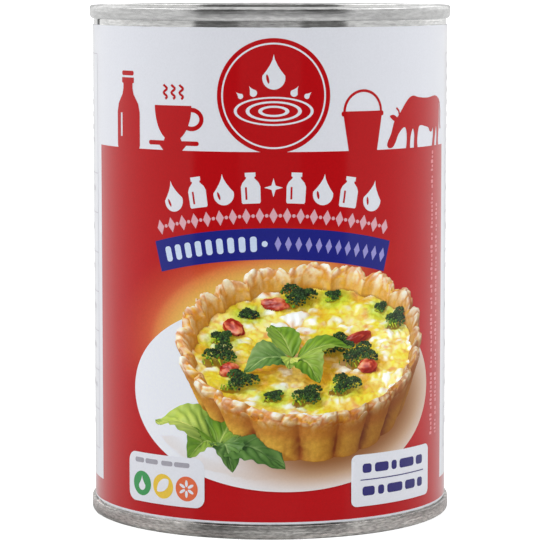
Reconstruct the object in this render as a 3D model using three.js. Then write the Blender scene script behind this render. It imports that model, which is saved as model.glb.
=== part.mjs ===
// An evaporated milk can: a shut three-piece tin can that stands on its bottom seam.
// The welded body is one solid with its hidden contents, because nothing inside shows.
// A countersunk end is double-seamed onto each rim, and a printed label wraps the wall.
// Millimetres, +Z up. The origin is the middle of the base, and the label's front faces -Y.
import * as THREE from "three";

// Driving dimensions
const CAN_HEIGHT = 107.0;
const SEAM_RADIUS = 38.1;
const BODY_RADIUS = 37.2;
const LABEL_THICKNESS = 0.2;
const LABEL_BOTTOM = 3.3;
const LABEL_TOP = 103.0;

// The double seam
const SEAM_HEIGHT = 2.75;
const SEAM_THICKNESS = 1.45;
const SEAM_ROUND = 0.55;
const SEAM_FOOT_ROUND = 0.35;

// The end's sheet, as depths below the seam's crest
const PANEL_DEPTH = 3.1;
const GROOVE_DEPTH = 3.8;
const END_DEPTH = 4.4;
const CHUCK_WALL_OUTER = 36.8;

// The countersink groove round the panel
const GROOVE_RADIUS = 35.2;
const GROOVE_ROUND = 0.6;
const PANEL_EDGE_ROUND = 0.45;

// The pressed rings of the end's panel
const BEAD_RADIUS = 31.0;
const BEAD_WIDTH = 3.2;
const BEAD_RISE = 0.55;
const STEP_OUTER_RADIUS = 26.5;
const STEP_INNER_RADIUS = 19.5;
const STEP_RISE = 0.5;
const STEP_SLOPE = 1.1;

// How finely curves are cut
const SEGMENTS = 72;
const CORNER_CUTS = 3;
const FOOT_CUTS = 2;
const GROOVE_CUTS = 4;
const BEAD_CUTS = 4;

const TIN_COLOUR = 0xc3c4c2;
const TIN_ROUGHNESS = 0.3;
const LABEL_COLOUR = 0xb0101c;
const LABEL_ROUGHNESS = 0.3;

// Points [radius, depth] along an arc, from one angle to another in quarter turns.
// At 0 a point lies outward of the centre, and at 1 it lies nearer the crest.
function arc(radius, depth, round, from, to, cuts) {
  const points = [];
  for (let i = 0; i <= cuts; i++) {
    const angle = ((from + ((to - from) * i) / cuts) * Math.PI) / 2;
    points.push([radius + round * Math.cos(angle), depth - round * Math.sin(angle)]);
  }
  return points;
}

// A pressed ring that swells up from the panel as one smooth hump.
function bead() {
  const points = [];
  for (let i = 0; i <= BEAD_CUTS; i++) {
    const across = i / BEAD_CUTS;
    const radius = BEAD_RADIUS + BEAD_WIDTH * (across - 0.5);
    points.push([radius, PANEL_DEPTH - BEAD_RISE * Math.sin(Math.PI * across) ** 2]);
  }
  return points;
}

// The raised ring round the flat middle of the panel.
function raisedStep() {
  return [
    [STEP_INNER_RADIUS, PANEL_DEPTH],
    [STEP_INNER_RADIUS + STEP_SLOPE, PANEL_DEPTH - STEP_RISE],
    [STEP_OUTER_RADIUS - STEP_SLOPE, PANEL_DEPTH - STEP_RISE],
    [STEP_OUTER_RADIUS, PANEL_DEPTH],
  ];
}

// The countersink groove, a half round that ends at the foot of the chuck wall.
function groove() {
  const centreDepth = GROOVE_DEPTH - GROOVE_ROUND;
  return [
    [GROOVE_RADIUS - GROOVE_ROUND - PANEL_EDGE_ROUND, PANEL_DEPTH],
    ...arc(GROOVE_RADIUS, centreDepth, GROOVE_ROUND, -2, 0, GROOVE_CUTS),
  ];
}

// The double seam, from the chuck wall over the flat crest and down to its foot.
function seam() {
  const innerRadius = SEAM_RADIUS - SEAM_THICKNESS + SEAM_ROUND;
  const outerRadius = SEAM_RADIUS - SEAM_ROUND;
  const footRadius = SEAM_RADIUS - SEAM_FOOT_ROUND;
  const footDepth = SEAM_HEIGHT - SEAM_FOOT_ROUND;
  return [
    ...arc(innerRadius, SEAM_ROUND, SEAM_ROUND, 2, 1, CORNER_CUTS),
    ...arc(outerRadius, SEAM_ROUND, SEAM_ROUND, 1, 0, CORNER_CUTS),
    ...arc(footRadius, footDepth, SEAM_FOOT_ROUND, 0, -1, FOOT_CUTS),
  ];
}

// The outline of an end, from the middle of its face, over the seam, to the middle behind.
function endOutline() {
  return [
    [0, PANEL_DEPTH],
    ...raisedStep(),
    ...bead(),
    ...groove(),
    ...seam(),
    [BODY_RADIUS, SEAM_HEIGHT],
    [CHUCK_WALL_OUTER, SEAM_HEIGHT],
    [CHUCK_WALL_OUTER, END_DEPTH],
    [0, END_DEPTH],
  ];
}

// The body's wall reaches into the seams, outside each end's chuck wall.
function bodyOutline() {
  const half = [
    [0, END_DEPTH],
    [CHUCK_WALL_OUTER, END_DEPTH],
    [CHUCK_WALL_OUTER, SEAM_HEIGHT],
    [BODY_RADIUS, SEAM_HEIGHT],
  ];
  return [...half, ...atTheTop(half)];
}

// The label's section is a closed rectangle, which starts and ends at one corner.
function labelOutline() {
  const outer = BODY_RADIUS + LABEL_THICKNESS;
  return [
    [BODY_RADIUS, LABEL_BOTTOM],
    [outer, LABEL_BOTTOM],
    [outer, LABEL_TOP],
    [BODY_RADIUS, LABEL_TOP],
    [BODY_RADIUS, LABEL_BOTTOM],
  ];
}

// The same outline mirrored to the top of the can, still running up the outside.
function atTheTop(outline) {
  const mirrored = outline.map(([radius, depth]) => [radius, CAN_HEIGHT - depth]);
  return mirrored.reverse();
}

// A solid of revolution about +Z from points [radius, height] that run up the outside.
function turned(name, outline, material) {
  const points = outline.map(([radius, height]) => new THREE.Vector2(radius, height));
  const mesh = new THREE.Mesh(new THREE.LatheGeometry(points, SEGMENTS), material);
  mesh.name = name;
  mesh.rotation.x = Math.PI / 2;
  return mesh;
}

function tinplate(name) {
  return new THREE.MeshStandardMaterial({
    name,
    color: TIN_COLOUR,
    metalness: 1.0,
    roughness: TIN_ROUGHNESS,
  });
}

function printedPaper(name) {
  return new THREE.MeshStandardMaterial({
    name,
    color: LABEL_COLOUR,
    metalness: 0.0,
    roughness: LABEL_ROUGHNESS,
  });
}

function canBody() {
  return turned("can_body", bodyOutline(), tinplate("body_tin"));
}

function topEnd() {
  return turned("top_end", atTheTop(endOutline()), tinplate("top_tin"));
}

function bottomEnd() {
  return turned("bottom_end", endOutline(), tinplate("bottom_tin"));
}

function label() {
  return turned("label", labelOutline(), printedPaper("label_print"));
}

const can = new THREE.Group();
can.name = "evaporated_milk_can";
can.add(canBody(), topEnd(), bottomEnd(), label());

export default can;
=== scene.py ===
# The looks of an evaporated milk can: bright tinplate, a varnished paper label and its print.
# The print is flat shapes in label millimetres, wrapped on the can a hair above the paper.
# Across the label u runs to the right round the can from the middle of the front, and v up.
import math
import random

import bmesh
import bpy
import numpy as np
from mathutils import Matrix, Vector, noise
from mathutils.bvhtree import BVHTree
from mathutils.geometry import tessellate_polygon


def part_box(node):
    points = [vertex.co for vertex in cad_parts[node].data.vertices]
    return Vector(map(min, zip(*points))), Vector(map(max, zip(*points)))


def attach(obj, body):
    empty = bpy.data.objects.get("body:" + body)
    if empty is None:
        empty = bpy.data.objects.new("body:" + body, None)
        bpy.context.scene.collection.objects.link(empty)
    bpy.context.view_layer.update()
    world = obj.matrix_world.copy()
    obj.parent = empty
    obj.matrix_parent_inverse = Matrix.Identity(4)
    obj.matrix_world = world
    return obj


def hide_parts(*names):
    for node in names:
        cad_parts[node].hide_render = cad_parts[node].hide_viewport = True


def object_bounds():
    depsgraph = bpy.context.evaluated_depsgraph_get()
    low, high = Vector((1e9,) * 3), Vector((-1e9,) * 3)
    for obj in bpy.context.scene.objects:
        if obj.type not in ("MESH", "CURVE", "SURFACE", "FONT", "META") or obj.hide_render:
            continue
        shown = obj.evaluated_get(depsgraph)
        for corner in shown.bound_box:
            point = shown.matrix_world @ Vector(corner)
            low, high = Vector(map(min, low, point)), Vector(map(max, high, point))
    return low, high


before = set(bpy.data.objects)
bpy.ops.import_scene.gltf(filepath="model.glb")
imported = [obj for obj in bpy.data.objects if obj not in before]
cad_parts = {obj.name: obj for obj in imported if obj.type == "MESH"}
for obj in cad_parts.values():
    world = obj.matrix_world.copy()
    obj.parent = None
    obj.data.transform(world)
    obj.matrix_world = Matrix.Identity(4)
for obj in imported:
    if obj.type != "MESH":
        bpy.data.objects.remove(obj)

MM = 0.001
CAD_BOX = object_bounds()

# The can's sizes, in millimetres from the frame
LABEL_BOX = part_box("label")
BODY_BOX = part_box("can_body")
CAN_HEIGHT = CAD_BOX[1].z / MM
SEAM_RADIUS = CAD_BOX[1].x / MM
LABEL_RADIUS = LABEL_BOX[1].x / MM
BODY_RADIUS = BODY_BOX[1].x / MM
LABEL_TOP = LABEL_BOX[1].z / MM
END_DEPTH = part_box("bottom_end")[1].z / MM

# The camera stands where the photograph's did, worked out from the rims and edges in it
CAMERA_DISTANCE = 588.335
CAMERA_HEIGHT = 114.83
CAMERA_PITCH = 6.227
CAMERA_LENS = 184.95
CAMERA_SENSOR = 36.0

# The ends, as radii and as depths below the seam's crest
SEAM_HEIGHT = 2.75
SEAM_THICKNESS = 1.45
SEAM_ROUND = 0.55
TOP_FOOT_ROUND = 0.6
BOTTOM_FOOT_ROUND = 0.12
TOP_BULGE = 0.15
BOTTOM_BULGE = 0.04
SEAM_FULLEST = 0.85
CHUCK_WALL_OUTER = 36.8
PANEL_DEPTH = 3.1
GROOVE_DEPTH = 3.8
GROOVE_RADIUS = 35.2
GROOVE_ROUND = 0.6
CHUCK_WALL_FOOT = 2.5
CHUCK_WALL_LEAN = 0.14
PANEL_EDGE_ROUND = 0.45
BEAD_RADIUS = 31.0
BEAD_WIDTH = 3.2
BEAD_RISE = 0.55
STEP_OUTER_RADIUS = 26.5
STEP_INNER_RADIUS = 19.5
STEP_RISE = 0.5
STEP_SLOPE = 1.1
STEP_CUTS = 12
BEAD_CUTS = 24
WELD_ANGLE = math.radians(-73.2)

# The dark line of the weld: its outer and inner half widths, and its tone
WELD_EDGE = 0.62
WELD_MIDDLE = 0.3
WELD_TONE = 0.04

# How finely the turned pieces are cut
END_CUTS = 288
WALL_CUTS = 576
WALL_ROWS = 40
WALL_INSET = 0.02
SHARP_EDGE = math.radians(38)

# The label's fields
RED_TOP = 78.3
RED_BOTTOM = 3.45
PAPER_BOTTOM = 3.0
RED_LEFT = -45.3
RED_RIGHT = 47.5
FOOT_TOP = 7.9
HALF_ROUND = math.pi * LABEL_RADIUS
LAP_WIDTH = 8.0
LAP_RISE = 0.09
LAP_FADE = 1.5
PAPER_EDGE = 0.15
PAPER_THICKNESS = 0.19

# Heights of the printed layers over the paper
FIELD_LIFT = 0.012
SHAPE_LIFT = 0.03
JOIN_LIFT = 0.035
RING_LIFT = 0.0475
OVER_LIFT = 0.05
PLATE_LIFT = 0.05
BADGE_LIFT = 0.17
MARK_LIFT = 0.19

# The share of a colour's light that the lit paper gives back in the photograph
PAPER_LIGHT = 0.72
PRINT_GLOSS = 0.22
PRINT_SHEEN = 0.75
SHEEN_ROUGHNESS = 0.36
PRINT_ROUGHNESS = (0.06, 0.1)
PRINT_BUMP = 0.000012

# Without a seed, noise_vector would start from the time and change from run to run
NOISE_SEED = 11
noise.seed_set(NOISE_SEED)


def linear(value):
    value /= 255.0
    return value / 12.92 if value <= 0.04045 else ((value + 0.055) / 1.055) ** 2.4


def ink(red, green, blue, alpha=1.0):
    """The colour of an ink from the 0 to 255 values that it shows under this light."""
    return tuple(linear(c) / PAPER_LIGHT for c in (red, green, blue)) + (alpha,)


PAPER = ink(209, 211, 218)
RED = ink(169, 0, 8)
INKS = {
    "red": RED, "blue": ink(26, 30, 118), "pink": ink(205, 158, 168), "pale": ink(190, 204, 226),
    "lavender": ink(142, 138, 196), "navy": ink(44, 40, 104), "grey": ink(150, 148, 158),
    "green": ink(60, 140, 80), "gold": ink(214, 180, 60), "coral": ink(205, 96, 58),
    "fine": ink(206, 120, 126), "back": ink(176, 172, 184),
}


def eased(share):
    """A share from 0 to 1 that starts and ends gently."""
    return share * share * (3 - 2 * share)


def wrap(u, v, lift=0.0):
    """The point in metres where label millimetres u and v fall on the can."""
    angle = u / LABEL_RADIUS
    radius = (LABEL_RADIUS + lift) * MM
    return (radius * math.sin(angle), -radius * math.cos(angle), v * MM)


def add_object(name, mesh):
    piece = bpy.data.objects.new(name, mesh)
    bpy.context.collection.objects.link(piece)
    return piece


# Shader helpers


def new_material(name):
    material = bpy.data.materials.new(name)
    material.use_nodes = True
    tree = material.node_tree
    return material, tree, tree.nodes["Principled BSDF"]


def set_inputs(tree, node, inputs):
    """Links each input to the socket given for it, or gives it the plain value."""
    for key, value in inputs.items():
        if isinstance(value, bpy.types.NodeSocket):
            tree.links.new(value, node.inputs[key])
        else:
            node.inputs[key].default_value = value


def add_node(tree, kind, inputs=None, **settings):
    node = tree.nodes.new(kind)
    for key, value in settings.items():
        setattr(node, key, value)
    set_inputs(tree, node, inputs or {})
    return node


def object_place(tree):
    return add_node(tree, "ShaderNodeTexCoord").outputs["Object"]


def plain_colour(tree, colour):
    fill = add_node(tree, "ShaderNodeRGB")
    fill.outputs[0].default_value = colour
    return fill.outputs[0]


def stretched_noise(tree, stretch, scale, detail):
    """Noise in object space, with its pattern drawn out along the axes of low stretch."""
    mapping = add_node(tree, "ShaderNodeMapping", {"Vector": object_place(tree), "Scale": stretch})
    inputs = {"Vector": mapping.outputs["Vector"], "Scale": scale, "Detail": detail}
    return add_node(tree, "ShaderNodeTexNoise", inputs).outputs["Fac"]


def ranged(tree, value, low, high, start=0.3, end=0.7, **settings):
    """Spreads what lies from start to end, by default a noise's middle, over low to high."""
    inputs = {"Value": value, "From Min": start, "From Max": end, "To Min": low, "To Max": high}
    return add_node(tree, "ShaderNodeMapRange", inputs, **settings).outputs["Result"]


def multiplied(tree, colour, factor):
    node = add_node(tree, "ShaderNodeVectorMath", {0: colour, 1: factor}, operation="MULTIPLY")
    return node.outputs["Vector"]


def bumped(tree, height, distance):
    inputs = {"Height": height, "Distance": distance, "Strength": 1.0}
    return add_node(tree, "ShaderNodeBump", inputs).outputs["Normal"]


def print_material(name, colour=None, mottle=0.05):
    """Varnished ink on paper. Without a colour it takes the mesh's own attribute."""
    material, tree, shader = new_material(name)
    if colour is None:
        source = add_node(tree, "ShaderNodeAttribute", attribute_name="print").outputs["Color"]
    else:
        source = plain_colour(tree, colour)
    grain = stretched_noise(tree, (1.0, 1.0, 1.0), 2600.0, 2.0)
    streaks = stretched_noise(tree, (0.3, 0.3, 5.0), 260.0, 4.0)
    set_inputs(tree, shader, {
        "Base Color": multiplied(tree, source, ranged(tree, grain, 1.0 - mottle, 1.0 + mottle)),
        "Specular IOR Level": PRINT_GLOSS,
        "Sheen Weight": PRINT_SHEEN,
        "Sheen Roughness": SHEEN_ROUGHNESS,
        "Roughness": ranged(tree, streaks, *PRINT_ROUGHNESS),
        "Normal": bumped(tree, streaks, PRINT_BUMP),
    })
    return material


def tin_material(name, tone, rough, bump, stretch, wear, grit=1100.0):
    """Bright rolled tinplate with roll marks, and with as much wear as its handling gave it."""
    material, tree, shader = new_material(name)
    blotches = stretched_noise(tree, stretch, 180.0, 5.0)
    grain = stretched_noise(tree, (0.45, 0.45, 2.0), grit, 2.0)
    marks = stretched_noise(tree, stretch, 700.0, 4.0)
    colour = plain_colour(tree, tone)
    for pattern, darker, lighter in ((blotches, 0.24, 0.1), (grain, 0.18, 0.14)):
        factor = ranged(tree, pattern, 1 - darker * wear, 1 + lighter * wear)
        colour = multiplied(tree, colour, factor)
    set_inputs(tree, shader, {
        "Metallic": 1.0,
        "Base Color": colour,
        "Roughness": ranged(tree, marks, *rough),
        "Normal": bumped(tree, marks, bump),
    })
    return material


# The tinplate pieces


def arc(radius, depth, size, start, end, cuts):
    """Points [radius, depth] on an arc between two angles, in quarter turns from outward."""
    points = []
    for i in range(cuts + 1):
        angle = (start + (end - start) * i / cuts) * math.pi / 2
        points.append((radius + size * math.cos(angle), depth - size * math.sin(angle)))
    return points


def end_outline(foot_round):
    """An end from the middle of its face, over the double seam, to the middle behind it."""
    points = [(0.0, PANEL_DEPTH), (STEP_INNER_RADIUS - 0.5, PANEL_DEPTH)]
    for foot, low, high in ((STEP_INNER_RADIUS, 0, 1), (STEP_OUTER_RADIUS - STEP_SLOPE, 1, 0)):
        for i in range(STEP_CUTS + 1):
            share = i / STEP_CUTS
            rise = STEP_RISE * eased(low + (high - low) * share)
            points.append((foot + STEP_SLOPE * share, PANEL_DEPTH - rise))
    for i in range(BEAD_CUTS + 1):
        share = i / BEAD_CUTS
        rise = BEAD_RISE * math.sin(math.pi * share) ** 2
        points.append((BEAD_RADIUS + BEAD_WIDTH * (share - 0.5), PANEL_DEPTH - rise))
    edge = GROOVE_RADIUS - GROOVE_ROUND - PANEL_EDGE_ROUND
    points += arc(edge, PANEL_DEPTH + 0.1, 0.1, 1, 0.6, 2)
    points += arc(GROOVE_RADIUS, GROOVE_DEPTH - GROOVE_ROUND, GROOVE_ROUND, -1.9, 0, 14)
    inner = SEAM_RADIUS - SEAM_THICKNESS + SEAM_ROUND
    points.append((SEAM_RADIUS - SEAM_THICKNESS - CHUCK_WALL_LEAN, CHUCK_WALL_FOOT))
    points += arc(inner, SEAM_ROUND, SEAM_ROUND, 2, 1, 10)
    points += arc(SEAM_RADIUS - SEAM_ROUND, SEAM_ROUND, SEAM_ROUND, 1, 0, 10)
    face_top, face_bottom = SEAM_ROUND, SEAM_HEIGHT - foot_round
    points += [(SEAM_RADIUS, face_top + (face_bottom - face_top) * i / 9) for i in range(1, 9)]
    foot = SEAM_RADIUS - foot_round
    points += arc(foot, face_bottom, foot_round, 0, -1, 8)
    points += [(BODY_RADIUS, SEAM_HEIGHT), (CHUCK_WALL_OUTER, SEAM_HEIGHT)]
    points += [(CHUCK_WALL_OUTER, END_DEPTH), (0.0, END_DEPTH)]
    return points


def lathe(name, outline, cuts, shape=None):
    """Turns points [radius, height] about the axis. shape may move a point by its angle."""
    vertices, rings = [], []
    for radius, height in outline:
        ring = []
        for i in range(cuts if radius > 0 else 1):
            angle = 2 * math.pi * i / cuts
            r, z = shape(angle, radius, height) if shape and radius > 0 else (radius, height)
            ring.append(len(vertices))
            vertices.append((r * MM * math.sin(angle), -r * MM * math.cos(angle), z * MM))
        rings.append(ring)
    faces = []
    for low, high in zip(rings, rings[1:]):
        for i in range(cuts):
            j = (i + 1) % cuts
            quad = [low[i % len(low)], low[j % len(low)], high[j % len(high)], high[i % len(high)]]
            corners = list(dict.fromkeys(quad))
            if len(corners) > 2:
                faces.append(corners)
    mesh = bpy.data.meshes.new(name)
    mesh.from_pydata(vertices, [], faces)
    mesh.polygons.foreach_set("use_smooth", [True] * len(mesh.polygons))
    mesh.set_sharp_from_angle(angle=SHARP_EDGE)
    mesh.update()
    return add_object(name, mesh)


def weld_nearness(angle, width):
    """1 on the side weld, fading to 0 at the given width in millimetres."""
    turn = (angle - WELD_ANGLE + math.pi) % (2 * math.pi) - math.pi
    return max(0.0, 1.0 - abs(turn) * BODY_RADIUS / width) ** 2


def seam_shape(angle, radius, depth, seed, bulge):
    """Slight waves that the seaming rolls leave, and the swelling over the side weld."""
    if radius < SEAM_RADIUS - SEAM_THICKNESS:
        return radius, depth
    point = Vector((math.cos(angle) * 4, math.sin(angle) * 4, seed))
    wave = 0.03 * noise.noise(point) + 0.018 * noise.noise(point * 3.7)
    outer = max(0.0, (radius - (SEAM_RADIUS - 0.7)) / 0.7)
    swell = 0.1 * weld_nearness(angle, 4.0) - bulge * ((depth - SEAM_FULLEST) / 1.5) ** 2
    droop = 0.25 * weld_nearness(angle, 3.0) if depth > SEAM_HEIGHT - 0.6 else 0.0
    return radius + (min(0.0, wave - 0.03) + swell) * outer, depth + droop


def mark_panel(piece):
    """Gives the second material to the faces inside the seam."""
    inside = (SEAM_RADIUS - SEAM_THICKNESS) * MM
    for face in piece.data.polygons:
        face.material_index = 1 if face.center.xy.length < inside else 0
    return piece


def make_top_end():
    outline = [(r, CAN_HEIGHT - d) for r, d in end_outline(TOP_FOOT_ROUND)]

    def shape(angle, radius, height):
        r, d = seam_shape(angle, radius, CAN_HEIGHT - height, 1.0, TOP_BULGE)
        return r, CAN_HEIGHT - d

    return mark_panel(lathe("top_end_pressed", outline[::-1], END_CUTS, shape))


def make_bottom_end():
    def shape(angle, radius, height):
        return seam_shape(angle, radius, height, 7.0, BOTTOM_BULGE)

    outline = end_outline(BOTTOM_FOOT_ROUND)
    return mark_panel(lathe("bottom_end_pressed", outline, END_CUTS, shape))


def make_body():
    """The welded wall, with the raised overlap of its side weld."""
    def shape(angle, radius, height):
        return radius + 0.12 * min(1.0, 3 * weld_nearness(angle, 1.4)), height

    foot = SEAM_HEIGHT + WALL_INSET
    low = [(0.0, END_DEPTH + WALL_INSET), (CHUCK_WALL_OUTER, END_DEPTH + WALL_INSET)]
    low += [(CHUCK_WALL_OUTER + WALL_INSET, foot), (BODY_RADIUS, foot)]
    rows = [foot + (CAN_HEIGHT - 2 * foot) * i / WALL_ROWS for i in range(1, WALL_ROWS)]
    high = [(r, CAN_HEIGHT - h) for r, h in low[::-1]]
    return lathe("can_wall", low + [(BODY_RADIUS, h) for h in rows] + high, WALL_CUTS, shape)


def darken_weld(material):
    """Darkens the tinplate along the side weld."""
    tree = material.node_tree
    shader = tree.nodes["Principled BSDF"]
    line = Vector((math.sin(WELD_ANGLE), -math.cos(WELD_ANGLE), 0.0))
    inputs = {0: object_place(tree), 1: line}
    toward = add_node(tree, "ShaderNodeVectorMath", inputs, operation="DOT_PRODUCT")
    edge, middle = (BODY_RADIUS * MM * math.cos(w / BODY_RADIUS) for w in (WELD_EDGE, WELD_MIDDLE))
    factor = ranged(tree, toward.outputs["Value"], 1.0, WELD_TONE, edge, middle)
    colour = shader.inputs["Base Color"].links[0].from_socket
    set_inputs(tree, shader, {"Base Color": multiplied(tree, colour, factor)})


# The paper label


def lap_rise(u):
    """The label's glued end lies over its start at the back, a paper's thickness higher."""
    gap = HALF_ROUND - abs(u)
    if u > 0:
        return LAP_RISE if gap < LAP_WIDTH else LAP_RISE * max(0.0, 1 - (gap - LAP_WIDTH) / LAP_FADE)
    return 0.0


def field_of(u, v):
    """The field of print at a place: 0 is bare paper and 1 is red."""
    if v < RED_BOTTOM:
        return 0
    inside = RED_LEFT < u < RED_RIGHT and v < RED_TOP
    return 1 if inside or v < FOOT_TOP else 0


def make_label():
    """A sleeve cut along the borders of its printed fields."""
    lap = HALF_ROUND - LAP_WIDTH
    lines = {-HALF_ROUND, HALF_ROUND, RED_LEFT, RED_RIGHT, lap, lap - LAP_FADE}
    steps = 360
    for i in range(1, steps):
        u = -HALF_ROUND + 2 * HALF_ROUND * i / steps
        if all(abs(u - line) > 0.2 for line in lines):
            lines.add(u)
    across = sorted(lines)
    edges = {PAPER_BOTTOM, PAPER_BOTTOM + PAPER_EDGE, LABEL_TOP - PAPER_EDGE, LABEL_TOP}
    up = sorted(edges | {RED_BOTTOM, FOOT_TOP, RED_TOP} | {10.0 + 4.0 * i for i in range(23)})
    vertices, faces, fields = [], [], []
    for u in across:
        for v in up:
            fray = 0.12 * min(0.0, noise.noise(Vector((u * 0.35, 0.0, v))))
            shift = {up[0]: -fray, up[-1]: fray}.get(v, 0.0)
            vertices.append(wrap(u, v + shift, lap_rise(u)))
    rows = len(up)
    for i in range(len(across) - 1):
        for j in range(rows - 1):
            a = i * rows + j
            faces.append((a, a + rows, a + rows + 1, a + 1))
            fields.append(field_of((across[i] + across[i + 1]) / 2, (up[j] + up[j + 1]) / 2))
    mesh = bpy.data.meshes.new("label_paper")
    mesh.from_pydata(vertices, [], faces)
    mesh.polygons.foreach_set("material_index", fields)
    mesh.polygons.foreach_set("use_smooth", [True] * len(faces))
    mesh.update()
    piece = add_object("label_paper", mesh)
    thickness = piece.modifiers.new("paper", "SOLIDIFY")
    thickness.thickness = PAPER_THICKNESS * MM
    thickness.offset = -1.0
    return piece


# Flat outlines in label millimetres


def ellipse(u, v, across, up, cuts=48, start=0.0, end=1.0):
    """Points on an ellipse, anticlockwise between two shares of a turn from the right."""
    full = end - start >= 1.0
    points = []
    for i in range(cuts if full else cuts + 1):
        angle = 2 * math.pi * (start + (end - start) * i / cuts)
        points.append((u + across * math.cos(angle), v + up * math.sin(angle)))
    return points


def pill(u, v, width, height, radius=None, cuts=6):
    """A rounded box about its middle."""
    radius = min(width, height) / 2 if radius is None else radius
    points = []
    corners = ((1, 1, 0), (-1, 1, 0.25), (-1, -1, 0.5), (1, -1, 0.75))
    for side, level, turn in corners:
        points += ellipse(
            u + side * (width / 2 - radius), v + level * (height / 2 - radius), radius, radius,
            cuts, turn, turn + 0.25,
        )
    return points


def smooth(points, cuts=5):
    """A closed smooth curve through the points."""
    out = []
    count = len(points)
    for i in range(count):
        p0, p1, p2, p3 = (points[(i + k - 1) % count] for k in range(4))
        for j in range(cuts):
            t = j / cuts
            out.append(tuple(
                0.5 * (2 * b + (c - a) * t + (2 * a - 5 * b + 4 * c - d) * t ** 2
                       + (3 * b - a - 3 * c + d) * t ** 3)
                for a, b, c, d in zip(p0, p1, p2, p3)
            ))
    return out


def stroke(points, width):
    """A band of even width along an open line, as one outline."""
    left, right = [], []
    for i, (u, v) in enumerate(points):
        before = points[max(0, i - 1)]
        after = points[min(len(points) - 1, i + 1)]
        du, dv = after[0] - before[0], after[1] - before[1]
        size = math.hypot(du, dv) or 1.0
        left.append((u - dv / size * width / 2, v + du / size * width / 2))
        right.append((u + dv / size * width / 2, v - du / size * width / 2))
    return left + right[::-1]


def drop(u, v, width, height):
    """A falling drop about the middle of its height."""
    radius = width / 2
    centre, tip = v - height / 2 + radius, v + height / 2
    shoulder = centre + radius * 0.19
    side = [(radius * (1 - t) ** 1.6 * 0.98, shoulder + (tip - shoulder) * t) for t in (0.25, 0.5, 0.75)]
    points = ellipse(u, centre, radius, radius, 20, 0.47, 1.03)
    points += [(u + x, y) for x, y in side]
    return points + [(u, tip)] + [(u - x, y) for x, y in side[::-1]]


def mirrored(half, middle=0.0):
    """The outline whose right half runs from the middle line back to it."""
    return [(middle + x, y) for x, y in half] + [(middle - x, y) for x, y in half[-2:0:-1]]


def turned(points, u, v, angle):
    """Points turned anticlockwise about a place, in degrees."""
    c, s = math.cos(math.radians(angle)), math.sin(math.radians(angle))
    return [(u + (x - u) * c - (y - v) * s, v + (x - u) * s + (y - v) * c) for x, y in points]


ARCH_U = 0.7
ARCH_V = -35.6


def arched(points, radius, along):
    """Moves points drawn round (0, 0) to a place along an arch, upright on it."""
    out = []
    for x, y in points:
        angle = (along + x) / radius
        reach = radius + y
        out.append((ARCH_U + reach * math.sin(angle), ARCH_V + reach * math.cos(angle)))
    return out


class Print:
    """Flat shapes of one colour, gathered and then wrapped on the can as one piece."""

    CUT = 1.0

    def __init__(self, name, material):
        self.name = name
        self.material = material
        self.flat = bmesh.new()

    def add(self, outline, lift=SHAPE_LIFT, holes=()):
        loops = [[Vector((u, v, 0.0)) for u, v in loop] for loop in (outline, *holes)]
        points = [point for loop in loops for point in loop]
        vertices = [self.flat.verts.new((p.x, p.y, lift)) for p in points]
        for corners in tessellate_polygon(loops):
            face = self.flat.faces.new([vertices[i] for i in corners])
            face.normal_update()
            if face.normal.z < 0:
                face.normal_flip()

    def finish(self):
        low = min(vertex.co.x for vertex in self.flat.verts)
        high = max(vertex.co.x for vertex in self.flat.verts)
        for k in range(math.ceil(low / self.CUT), math.floor(high / self.CUT) + 1):
            every = self.flat.verts[:] + self.flat.edges[:] + self.flat.faces[:]
            bmesh.ops.bisect_plane(
                self.flat, geom=every, plane_co=(k * self.CUT, 0, 0), plane_no=(1, 0, 0)
            )
        for vertex in self.flat.verts:
            vertex.co = wrap(*vertex.co)
        mesh = bpy.data.meshes.new(self.name)
        self.flat.to_mesh(mesh)
        self.flat.free()
        return finish_print(self.name, mesh, self.material)


def finish_print(name, mesh, material):
    """Gives a printed layer the can's own round normals and puts it on the label."""
    mesh.polygons.foreach_set("use_smooth", [True] * len(mesh.polygons))
    normals = [(v.co.x, v.co.y, 0.0) for v in mesh.vertices]
    mesh.normals_split_custom_set_from_vertices([Vector(n).normalized() for n in normals])
    mesh.materials.append(material)
    mesh.update()
    piece = add_object(name, mesh)
    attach(piece, "root")
    return piece


# The badge and the figures above the red field

DISC_U = 0.75
DISC_V = 89.45
DISC_RADIUS = 11.45


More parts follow.
